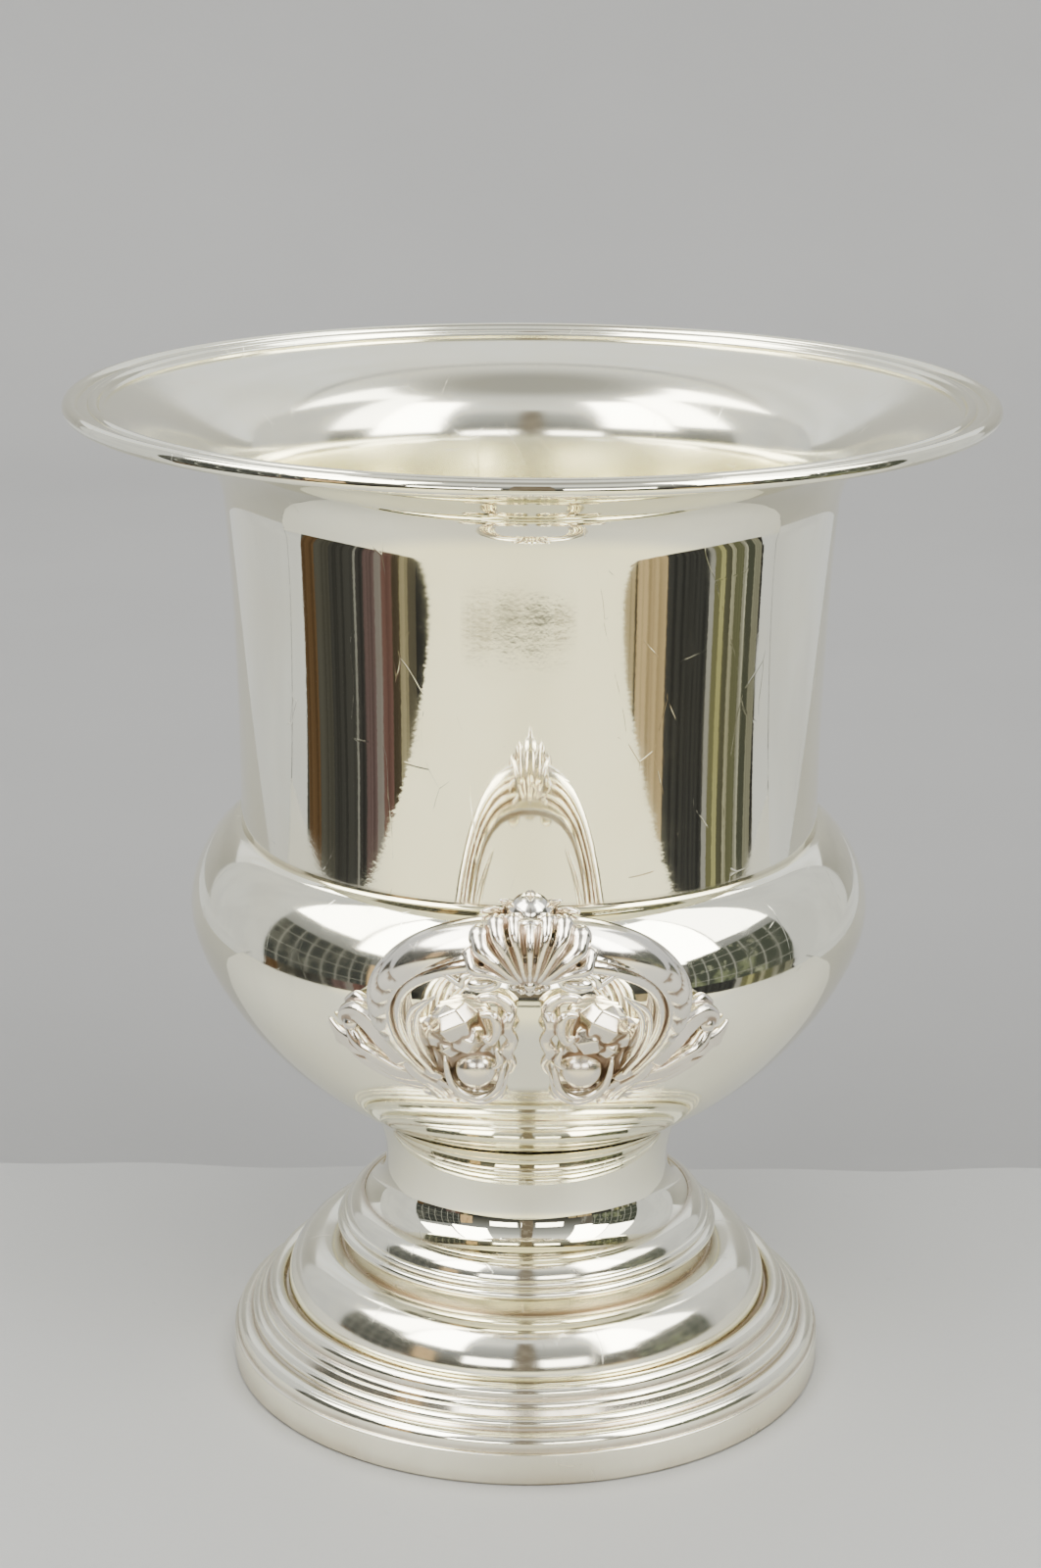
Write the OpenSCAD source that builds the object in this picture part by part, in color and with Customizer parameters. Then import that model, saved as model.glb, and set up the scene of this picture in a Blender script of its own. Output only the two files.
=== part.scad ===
// Footed urn-shaped champagne bucket with two cast leaf-and-shell handles.
// Millimetres, +Z up, the foot stands on z = 0 and the axis is the Z axis.
// The handles are on the -Y side (front) and the +Y side (rear).

/* [Body] */
// overall height from the table to the top of the rim bead
body_h = 259; // [200:1:330]
// outer diameter over the rim bead
rim_d = 230.4; // [180:0.2:300]
// outer diameter of the straight upper wall at its foot
waist_d = 147.4; // [120:0.2:170]
// outer diameter of the widest part of the lower bowl
bowl_d = 173.8; // [150:0.2:200]
// thickness of the spun sheet
wall = 1.1; // [0.8:0.1:2]

/* [Stem and foot] */
// diameter of the narrowest part of the stem
neck_d = 74.4; // [60:0.2:90]
// outer diameter of the foot at the table
foot_d = 156.4; // [130:0.2:190]
// height of the plain upright band around the foot
band_h = 8.6; // [6:0.1:12]

/* [Rim moulding] */
// diameter of the rolled outer bead
bead_d = 3.8; // [3:0.1:5]
// radial width of the reeded moulding
rim_w = 9.2; // [7:0.1:12]

/* [Handles] */
// distance from the widest part of the bowl out to the middle of the handle bar
handle_reach = 40.5; // [34:0.5:55]
// half the spread of the handle's two side arms
handle_spread = 31; // [26:0.5:40]
// distance between the two roots of a handle
root_gap = 33; // [28:0.5:40]
// depth of the handle bar at the middle, across the plane of the arch
bar_t = 14; // [10:0.1:18]
// width of the handle bar at the middle, in the plane of the arch
bar_w = 13; // [10:0.1:17]
// depth of the two side arms
arm_t = 9.6; // [7:0.1:13]
// width of the two side arms
arm_w = 10.4; // [8:0.1:14]
// width of the shell at the middle of the bar
shell_w = 25; // [18:0.5:32]
// diameter of the round bead above the shell
pearl_d = 9.5; // [6:0.1:12]

/* [Hidden] */
rev_fn = 128;
// radii
rim_r = rim_d / 2;
waist_r = waist_d / 2;
bowl_r = bowl_d / 2;
neck_r = neck_d / 2;
foot_r = foot_d / 2;
bead_r = bead_d / 2;
// levels, all in proportion to the overall height
uz = body_h / 259;
waist_z = 149.4 * uz;
flare_z = 232.6 * uz;
lip_z = body_h - 2.6;
wide_z = 128 * uz;
joint_z = 76 * uz;
neck_z = 56 * uz;
stem_z = 45.4 * uz;
tier_z = 31.8 * uz;
dome_z = 19.6 * uz;
// radii of the joints between the spun pieces
top_r = waist_r + 1.7;
joint_r = neck_r + 10.6;
stem_r = neck_r + 5.9;
tier_r = neck_r + 12.9;
seat_r = tier_r - 1.1;
dome_r = foot_r - 14.4;
foot_scale = (foot_r - dome_r) / 14.4;
tuck = 4;
// handle lay-out
bar_y = bowl_r + handle_reach;
bar_z = 160 * uz;
root_z = 102 * uz;
root_x = root_gap / 2;
loop_steps = 15;
loop_sides = 14;

silver = [0.86, 0.85, 0.82];
silver_bright = [0.92, 0.91, 0.89];
silver_cast = [0.78, 0.75, 0.70];

// ---------- curves ----------
// cubic Bezier point and run of points
function bez_at(p, t) =
  pow(1 - t, 3) * p[0] + 3 * t * pow(1 - t, 2) * p[1]
  + 3 * t * t * (1 - t) * p[2] + pow(t, 3) * p[3];
function bez(p, n) = [for (i = [0:n]) bez_at(p, i / n)];
// run of points on a circular arc
function arc(c, r, a0, a1, n) =
  [for (i = [0:n]) let (a = a0 + (a1 - a0) * i / n) [c[0] + r * cos(a), c[1] + r * sin(a)]];
function rest(v) = [for (i = [1:len(v) - 1]) v[i]];
function flip(v) = [for (i = [len(v) - 1:-1:0]) v[i]];
function unit(v) = v / norm(v);
// left-hand normal of a run of points at index i
function side(v, i) =
  let (d = unit(v[min(i + 1, len(v) - 1)] - v[max(i - 1, 0)])) [-d[1], d[0]];
function offs(v, d) = [for (i = [0:len(v) - 1]) v[i] + d * side(v, i)];

// ---------- outlines of the spun pieces, listed from the bottom up ----------
// straight wall, flare and flat lip
lip_r0 = rim_r - rim_w - 0.6;
lip_r1 = rim_r - 2.6;
lip_dz = 0.21 * (lip_r1 - lip_r0);
wall_out = concat(
  bez([
    [waist_r, waist_z],
    [waist_r - 0.4, waist_z + 30],
    [waist_r + 1.15, flare_z - 17],
    [waist_r + 2.75, flare_z]
  ], 8),
  rest(bez([
    [waist_r + 2.75, flare_z],
    [waist_r + 3.7, flare_z + 10.4],
    [lip_r0 - 20, lip_z - lip_dz - 4],
    [lip_r0, lip_z - lip_dz]
  ], 14)),
  [[lip_r1, lip_z]]
);
// the inner face of the wall, flare and lip
wall_in = offs(wall_out, wall);
lip_a = wall_in[len(wall_in) - 2];
lip_b = wall_in[len(wall_in) - 1];

// shoulder, widest part and underside of the bowl
under_out = bez([
  [joint_r, joint_z],
  [joint_r + 21.7, joint_z + 13],
  [bowl_r, wide_z - 14],
  [bowl_r, wide_z]
], 14);
shoulder_out = bez([
  [bowl_r, wide_z],
  [bowl_r, wide_z + 10],
  [top_r + 4.8, waist_z - 2.3],
  [top_r, waist_z]
], 12);
bowl_out = concat(under_out, rest(shoulder_out));
bowl_in = offs(bowl_out, wall);

// stem from the bowl down to the collar
stem_out = concat(
  bez([
    [stem_r, stem_z],
    [neck_r + 1.6, stem_z + 2.6],
    [neck_r, neck_z - 4.5],
    [neck_r, neck_z]
  ], 8),
  rest(bez([
    [neck_r, neck_z],
    [neck_r, neck_z + 8],
    [joint_r - 7.5, joint_z - 4.5],
    [joint_r, joint_z]
  ], 12))
);
stem_in = offs(stem_out, wall);

// ---------- spun pieces ----------
module spin(outline) {
  rotate_extrude($fn = rev_fn) polygon(outline);
}

module upper_body() {
  color(silver_bright)
    spin(concat(
      [[waist_r - wall, waist_z]],
      wall_out,
      [lip_b],
      flip([for (i = [1:len(wall_in) - 2]) wall_in[i]])
    ));
}

module rim_moulding() {
  // outer bead, a hollow, a second reed and a thin step, laid on the lip
  bead_c = [rim_r - bead_r, body_h - bead_r];
  reed_c = [lip_a[0] + 2.6, lip_a[1] + 1.1];
  color(silver_bright)
    spin(concat(
      [lip_b, [lip_r1, lip_z], [lip_r1, lip_z - 1.2]],
      arc(bead_c, bead_r, -70, 165, 12),
      [[(bead_c[0] - bead_r + reed_c[0] + 1.4) / 2, lip_b[1] + 0.5]],
      arc(reed_c, 1.4, 20, 160, 6),
      [lip_a + [0.7, 0.9], lip_a + [0, 0.6], lip_a]
    ));
}

module lower_bowl() {
  // the sheet closes into a slightly dished floor over the stem
  floor_in = [joint_r + 3, joint_z + 3.4];
  keep = [for (p = bowl_in) if (p[0] > floor_in[0] + 2 && p[0] < bowl_r) p];
  color(silver)
    spin(concat(
      [[0, joint_z + 0.6], [stem_r, joint_z]],
      bowl_out,
      [[waist_r - wall, waist_z]],
      flip([for (p = keep) if (p[1] < waist_z - 1) p]),
      [floor_in, [0, joint_z + 0.6 + wall]]
    ));
}

module stem() {
  color(silver)
    spin(concat(
      [[stem_r - tuck, stem_z]],
      stem_out,
      [[joint_r - tuck, joint_z], [joint_r - tuck - 2, joint_z - wall - 1]],
      flip([for (p = stem_in) if (p[1] < joint_z - 6 && p[1] > stem_z + 2.4) p]),
      [[stem_r - tuck, stem_z + wall]]
    ));
}

module stem_collar() {
  // rounded shoulder and two reeds, with an upright cove below them
  edge_r = tier_r - 1.9;
  span = stem_z - tier_z;
  color(silver_bright)
    spin(concat(
      [[seat_r - tuck, tier_z], [seat_r, tier_z], [seat_r, tier_z + span * 0.27]],
      arc([tier_r - 1.1, tier_z + span * 0.42], span * 0.1, -75, 80, 6),
      arc([tier_r - 2, tier_z + span * 0.6], span * 0.075, -55, 90, 5),
      bez([
        [edge_r - 0.3, tier_z + span * 0.7],
        [edge_r - 0.8, stem_z - 2.2],
        [stem_r + 2.6, stem_z - 0.2],
        [stem_r + 0.5, stem_z + 0.2]
      ], 7),
      [
        [stem_r, stem_z + 0.2], [stem_r, stem_z], [stem_r - tuck, stem_z],
        [stem_r - tuck, stem_z - wall], [seat_r - tuck, tier_z + 3]
      ]
    ));
}

module foot_dome() {
  // the shoulder lies part of the way from the seat out to the edge of the dome
  dome_w = dome_r - seat_r;
  dome_out = concat(
    [[dome_r - 0.4, dome_z]],
    bez([
      [dome_r - 0.1, dome_z + 0.6],
      [dome_r, dome_z + 6.4],
      [dome_r - dome_w * 0.29, tier_z + 1.5],
      [dome_r - dome_w * 0.66, tier_z + 1.5]
    ], 12),
    [[seat_r + dome_w * 0.115, tier_z + 0.9], [seat_r + dome_w * 0.02, tier_z]]
  );
  color(silver)
    spin(concat(
      [[dome_r - tuck, dome_z]],
      dome_out,
      [
        [seat_r - tuck, tier_z], [seat_r - tuck, tier_z - wall],
        [dome_r - dome_w * 0.68, tier_z - wall], [dome_r - dome_w * 0.34, tier_z - 3.5],
        [dome_r - 2.4, dome_z + 5], [dome_r - 1.8, dome_z + wall],
        [dome_r - tuck, dome_z + wall]
      ]
    ));
}

module foot_base() {
  // reed, two small steps and a cove, a second reed, an ovolo and the band
  s = foot_scale;
  reed_r = 2.1 * s;
  color(silver)
    spin(concat(
      [
        [foot_r - 3.4, 0], [foot_r - 0.3, 0], [foot_r, 0.3], [foot_r, band_h],
        [foot_r - 0.3 * s, band_h + 0.5], [foot_r - 0.9 * s, band_h + 0.8]
      ],
      arc([foot_r - 3.5 * s, band_h + 1.6], 2.5 * s, 0, 90, 6),
      [[foot_r - 4.7 * s, band_h + 4]],
      arc([foot_r - 6.6 * s, band_h + 5.2], 1.7 * s, -25, 95, 6),
      [[foot_r - 7.3 * s, dome_z - 2.9], [foot_r - 8.2 * s, dome_z - 2.5]],
      bez([
        [foot_r - 8.2 * s, dome_z - 1.8], [foot_r - 8.6 * s, dome_z - 1.3],
        [foot_r - 8.9 * s, dome_z - 1.1], [foot_r - 9.3 * s, dome_z - 0.9]
      ], 3),
      arc([dome_r + 2.8 * s, dome_z], reed_r, -8, 172, 10),
      [
        [dome_r + 0.4, dome_z], [dome_r - tuck, dome_z], [dome_r - tuck, dome_z - wall],
        [dome_r + 3, dome_z - 3], [foot_r - 8, band_h + 2], [foot_r - 3.4, band_h - 2]
      ]
    ));
}

// ---------- handles ----------
// solid bowl, used to trim what is soldered onto it
module bowl_block() {
  spin(concat([[0, joint_z]], bowl_out, [[0, waist_z]]));
}

// half of the centre line, from the middle of the bar to the root inside the bowl
half_line = [
  [0, -bar_y, bar_z],
  [handle_spread * 1.42, -bar_y, bar_z],
  [handle_spread * 1.1, -bar_y + handle_reach * 0.68, bar_z - 30 * uz],
  [root_x, -bowl_r + 15, root_z]
];
half_pts = bez(half_line, loop_steps);
half_sizes = [
  for (i = [0:loop_steps]) let (k = pow(sin(90 * min(1, i / (loop_steps * 0.45))), 2))
    [bar_w + (arm_w - bar_w) * k, bar_t + (arm_t - bar_t) * k] / 2
];
function flip_x(p) = [-p[0], p[1], p[2]];
loop_pts = concat([for (p = flip(rest(half_pts))) flip_x(p)], half_pts);
loop_sizes = concat(flip(rest(half_sizes)), half_sizes);
loop_up = unit([0, bar_z - root_z, bar_y - bowl_r + 9]);

function loop_dir(i) =
  unit(loop_pts[min(i + 1, len(loop_pts) - 1)] - loop_pts[max(i - 1, 0)]);
// one ring: across the arch plane by the width, along its normal by the thickness
function loop_ring(i) =
  let (
    t = loop_dir(i),
    n = unit(loop_up - (loop_up * t) * t),
    b = cross(n, t)
  )
  [
    for (j = [0:loop_sides - 1]) let (a = 360 * (j + 0.5) / loop_sides)
      loop_pts[i] + loop_sizes[i][0] * cos(a) * b + loop_sizes[i][1] * sin(a) * n
  ];

module loop_body() {
  n = len(loop_pts);
  m = loop_sides;
  points = [for (i = [0:n - 1]) each loop_ring(i)];
  walls = [
    for (i = [0:n - 2]) for (j = [0:m - 1]) let (k = (j + 1) % m)
      each [
        [i * m + j, (i + 1) * m + j, (i + 1) * m + k],
        [i * m + j, (i + 1) * m + k, i * m + k]
      ]
  ];
  caps = [[for (j = [0:m - 1]) j], [for (j = [m - 1:-1:0]) (n - 1) * m + j]];
  polyhedron(points, concat(walls, caps));
}

module handle_loop() {
  color(silver_cast)
    difference() {
      loop_body();
      bowl_block();
    }
}

module ball(c, r, fn = 16) {
  translate(c) sphere(r, $fn = fn);
}

// fan of ribs over the middle of the bar
shell_top = bar_z + bar_w * 0.27;
shell_foot = bar_z - bar_w * 0.62;
shell_y = -bar_y - bar_t * 0.22;
module shell_body() {
  hull() {
    ball([-shell_w * 0.34, shell_y, shell_top], shell_w * 0.15);
    ball([shell_w * 0.34, shell_y, shell_top], shell_w * 0.15);
    ball([0, shell_y - 0.6, shell_top + 1.2], shell_w * 0.16);
    ball([0, shell_y - 0.4, shell_foot], 2.2);
  }
  for (k = [-2:2])
    hull() {
      ball([k * shell_w * 0.18, shell_y - 2.6, shell_top + 2 - abs(k)], shell_w * 0.085, 12);
      ball([k * 1.1, shell_y - 1.4, shell_foot + 1], 1.3, 12);
    }
}
module handle_shell() {
  color(silver_bright)
    difference() {
      shell_body();
      loop_body();
    }
}

// centre of the bead that sits on the bar behind the shell
pearl_at = [0, -bar_y - 1.2, bar_z + bar_w * 0.34 + pearl_d * 0.3];
module handle_pearl() {
  color(silver_bright)
    difference() {
      ball(pearl_at, pearl_d / 2, 28);
      shell_body();
      loop_body();
    }
}

// pointed leaf on the body side of the bar
module handle_back_leaf() {
  color(silver_cast)
    difference() {
      translate([0, -bar_y + bar_t * 0.4, bar_z + 1])
        rotate([-22, 0, 0]) hull() scale([1, 0.42, 1.25]) sphere(shell_w * 0.34, $fn = 20);
      loop_body();
      shell_body();
      ball(pearl_at, pearl_d / 2, 28);
    }
}

// cupped leaf at the root of each arm; s is -1 for left and 1 for right
foot_x = root_x * 0.82;
foot_z = root_z + 16;
module foot_leaf_body(s) {
  translate([s * foot_x, -bowl_r + 5.2, foot_z])
    rotate([-17, 0, 0]) scale([0.92, 0.8, 1.55]) sphere(10, $fn = 48);
}
module handle_foot_leaf(s) {
  color(silver_cast)
    difference() {
      foot_leaf_body(s);
      loop_body();
      bowl_block();
    }
}

// leaf that spreads sideways over the bowl from each arm
side_x = handle_spread * 1.27;
side_a = asin(side_x / bowl_r);
module handle_side_leaf(s) {
  color(silver_cast)
    difference() {
      rotate([0, 0, s * side_a]) translate([0, -bowl_r + 1.6, foot_z - 2]) rotate([-12, 0, 0])
        hull() {
          translate([-s * 5, 0, -1.5]) scale([1, 0.62, 1]) ball([0, 0, 0], 8);
          translate([s * 13, 0.6, 1.5]) scale([1, 0.7, 1]) ball([0, 0, 0], 5.4);
        }
      foot_leaf_body(s);
      loop_body();
      bowl_block();
    }
}

module rear() {
  rotate([0, 0, 180]) children();
}

rim_moulding();
upper_body();
lower_bowl();
stem();
stem_collar();
foot_dome();
foot_base();
handle_loop();  // front_loop
handle_shell();  // front_shell
handle_pearl();  // front_pearl
handle_back_leaf();  // front_back_leaf
handle_foot_leaf(-1);  // front_foot_leaf_left
handle_foot_leaf(1);  // front_foot_leaf_right
handle_side_leaf(-1);  // front_side_leaf_left
handle_side_leaf(1);  // front_side_leaf_right
rear() handle_loop();  // rear_loop
rear() handle_shell();  // rear_shell
rear() handle_pearl();  // rear_pearl
rear() handle_back_leaf();  // rear_back_leaf
rear() handle_foot_leaf(-1);  // rear_foot_leaf_left
rear() handle_foot_leaf(1);  // rear_foot_leaf_right
rear() handle_side_leaf(-1);  // rear_side_leaf_left
rear() handle_side_leaf(1);  // rear_side_leaf_right
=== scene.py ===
import math

import bmesh
import bpy
import numpy as np
from mathutils import Matrix, Vector


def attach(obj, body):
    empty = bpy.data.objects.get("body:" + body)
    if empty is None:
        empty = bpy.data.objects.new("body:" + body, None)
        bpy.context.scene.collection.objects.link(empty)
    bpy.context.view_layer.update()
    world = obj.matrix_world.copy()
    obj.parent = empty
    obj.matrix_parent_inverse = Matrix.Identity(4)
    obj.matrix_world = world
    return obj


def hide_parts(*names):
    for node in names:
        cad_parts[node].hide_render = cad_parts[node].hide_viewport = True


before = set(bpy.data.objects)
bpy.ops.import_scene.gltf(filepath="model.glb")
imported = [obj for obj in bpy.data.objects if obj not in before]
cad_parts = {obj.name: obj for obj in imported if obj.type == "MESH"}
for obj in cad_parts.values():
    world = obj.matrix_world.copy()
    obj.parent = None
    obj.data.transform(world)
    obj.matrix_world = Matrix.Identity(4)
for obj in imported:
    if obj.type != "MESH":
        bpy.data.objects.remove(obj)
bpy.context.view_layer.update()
MM = 0.001


# ------------------------------------------------------------------ curves
def bez(p, n):
    p = np.array(p, float)
    t = np.linspace(0, 1, n + 1)[:, None]
    return (1 - t) ** 3 * p[0] + 3 * t * (1 - t) ** 2 * p[1] + 3 * t * t * (1 - t) * p[2] + t ** 3 * p[3]


def arc(c, r, a0, a1, n):
    a = np.radians(np.linspace(a0, a1, n + 1))
    return np.stack([c[0] + r * np.cos(a), c[1] + r * np.sin(a)], -1)


def pts(*p):
    return np.array(p, float)


def side(v):
    d = np.gradient(v, axis=0)
    d /= np.linalg.norm(d, axis=1)[:, None]
    return np.stack([-d[:, 1], d[:, 0]], -1)


def offs(v, d):
    return v + d * side(v)


# ------------------------------------------------------------------ sizes, in mm, as in the solids
# r is a distance from the axis and z a height above the table
wall, tuck = 1.1, 4.0
foot_r, band_h, dome_z = 78.2, 8.6, 19.6
dome_r = foot_r - 14.4
neck_r, tier_z, stem_z, neck_z = 37.2, 31.8, 45.4, 56.0
tier_r, stem_r, joint_r = neck_r + 12.9, neck_r + 5.9, neck_r + 10.6
seat_r = tier_r - 1.1
joint_z, wide_z, bowl_r = 76.0, 128.0, 86.9
waist_z, waist_r = 149.4, 73.7
top_r = waist_r + 1.7
flare_z, lip_z, body_h = 232.6, 256.4, 259.0
rim_r, rim_w, bead_r = 115.2, 9.2, 1.9
lip_r0, lip_r1 = rim_r - rim_w - 0.6, rim_r - 2.6
lip_dz = 0.21 * (lip_r1 - lip_r0)

wall_out = np.vstack([
    bez([[waist_r, waist_z], [waist_r - 0.4, waist_z + 30], [waist_r + 1.15, flare_z - 17],
         [waist_r + 2.75, flare_z]], 60),
    bez([[waist_r + 2.75, flare_z], [waist_r + 3.7, flare_z + 10.4], [lip_r0 - 20, lip_z - lip_dz - 4],
         [lip_r0, lip_z - lip_dz]], 60)[1:],
    pts([lip_r1, lip_z])])
wall_in = offs(wall_out, wall)
lip_a, lip_b = wall_in[-2], wall_in[-1]
under_out = bez([[joint_r, joint_z], [joint_r + 21.7, joint_z + 13], [bowl_r, wide_z - 14],
                 [bowl_r, wide_z]], 60)
shoulder_out = bez([[bowl_r, wide_z], [bowl_r, wide_z + 10], [top_r + 4.8, waist_z - 2.3], [top_r, waist_z]],
                   50)
bowl_out = np.vstack([under_out, shoulder_out[1:]])
bowl_in = offs(bowl_out, wall)


# ------------------------------------------------------------------ mesh helpers
def add_object(name, data):
    ob = bpy.data.objects.new(name, data)
    bpy.context.scene.collection.objects.link(ob)
    return ob


def ring_faces(count, sides, closed=False):
    """Faces that join each ring of points to the next, and the last to the first if closed."""
    faces = []
    for i in range(count if closed else count - 1):
        low, high = i * sides, (i + 1) % count * sides
        faces += [(low + j, low + (j + 1) % sides, high + (j + 1) % sides, high + j) for j in range(sides)]
    return faces


def make(name, verts, faces, mat, nodes, sharp=32):
    """One piece of the bucket: sharp is the angle past which an edge is not smoothed."""
    me = bpy.data.meshes.new(name)
    me.from_pydata([tuple(v) for v in verts], [], [tuple(f) for f in faces])
    me.update()
    bm = bmesh.new()
    bm.from_mesh(me)
    bmesh.ops.remove_doubles(bm, verts=bm.verts, dist=2e-7)
    bmesh.ops.recalc_face_normals(bm, faces=bm.faces)
    bm.to_mesh(me)
    bm.free()
    me.polygons.foreach_set("use_smooth", [True] * len(me.polygons))
    if sharp:
        me.set_sharp_from_angle(angle=math.radians(sharp))
    ob = add_object(name, me)
    me.materials.append(mat)
    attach(ob, "root")
    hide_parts(*nodes)
    return ob


def lathe(name, outline, mat, nodes, seg=320, sharp=32, nearest=0.012):
    """Turns a closed outline of radius and height round the axis; points closer than nearest are dropped."""
    o = np.array(outline, float)
    keep = [0]
    for i in range(1, len(o)):
        if np.linalg.norm(o[i] - o[keep[-1]]) > nearest:
            keep.append(i)
    o = o[keep]
    n = len(o)
    a = np.linspace(0, 2 * np.pi, seg, endpoint=False)
    v = np.empty((n, seg, 3))
    v[..., 0] = o[:, 0, None] * np.cos(a)
    v[..., 1] = o[:, 0, None] * np.sin(a)
    v[..., 2] = o[:, 1, None]
    return make(name, v.reshape(-1, 3) * MM, ring_faces(n, seg, True), mat, nodes, sharp)


# ------------------------------------------------------------------ camera
def look(eye, pitch, roll, lens):
    """Camera at eye, tipped down by pitch degrees and rolled by roll radians."""
    p = math.radians(pitch)
    fwd = Vector((0, math.cos(p), -math.sin(p)))
    right = Vector((1, 0, 0))
    up = right.cross(fwd)
    x = right * math.cos(roll) + up * math.sin(roll)
    y = up * math.cos(roll) - right * math.sin(roll)
    cam = add_object("view", bpy.data.cameras.new("view"))
    m = Matrix.Identity(4)
    for i, col in enumerate((x, y, -fwd, Vector(eye))):
        for k in range(3):
            m[k][i] = col[k]
    cam.matrix_world = m
    cam.data.sensor_width = 36
    cam.data.lens = lens
    cam.data.clip_start = 0.02
    bpy.context.scene.camera = cam


look(eye=(-0.0023, -0.7611, 0.3880), pitch=16.85, roll=0.0063, lens=71.23)


# ------------------------------------------------------------------ shader helpers
class Tree:
    """A short way to build a node tree: each call adds one node and links its inputs."""

    def __init__(self, owner):
        self.t = owner.node_tree
        self.t.nodes.clear()

    def add(self, kind, ins=None, out=0, **props):
        n = self.t.nodes.new(kind)
        for k, v in props.items():
            setattr(n, k, v)
        for k, v in (ins or {}).items():
            if isinstance(v, bpy.types.NodeSocket):
                self.t.links.new(v, n.inputs[k])
            else:
                n.inputs[k].default_value = v
        return n.outputs[out] if n.outputs else n

    def math(self, op, a, b=0.0, c=0.0, clamp=False):
        return self.add("ShaderNodeMath", {0: a, 1: b, 2: c}, operation=op, use_clamp=clamp)

    def split(self, vec):
        n = self.t.nodes.new("ShaderNodeSeparateXYZ")
        self.t.links.new(vec, n.inputs[0])
        return n.outputs

    def length(self, x, y):
        return self.math("SQRT", self.math("ADD", self.math("POWER", x, 2), self.math("POWER", y, 2)))

    def span(self, v, a, b, c=0.0, d=1.0, smooth=True):
        return self.add("ShaderNodeMapRange",
                        {"Value": v, "From Min": a, "From Max": b, "To Min": c, "To Max": d},
                        interpolation_type="SMOOTHSTEP" if smooth else "LINEAR")

    def mix(self, f, a, b):
        n = self.t.nodes.new("ShaderNodeMix")
        n.data_type = "RGBA"
        for k, v in ((0, f), (6, a), (7, b)):
            if isinstance(v, bpy.types.NodeSocket):
                self.t.links.new(v, n.inputs[k])
            else:
                n.inputs[k].default_value = (*v, 1.0) if k and len(v) == 3 else v
        return n.outputs[2]

    def noise(self, vec, scale, detail=3.0, rough=0.55):
        return self.add("ShaderNodeTexNoise",
                        {"Vector": vec, "Scale": scale, "Detail": detail, "Roughness": rough})

    def stretch(self, vec, x, y, z):
        return self.add("ShaderNodeMapping", {"Vector": vec, "Scale": (x, y, z)})


def material(name, colour):
    m = bpy.data.materials.new(name)
    m.use_nodes = True
    m.diffuse_color = (*colour, 1)
    return m, Tree(m)


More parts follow.
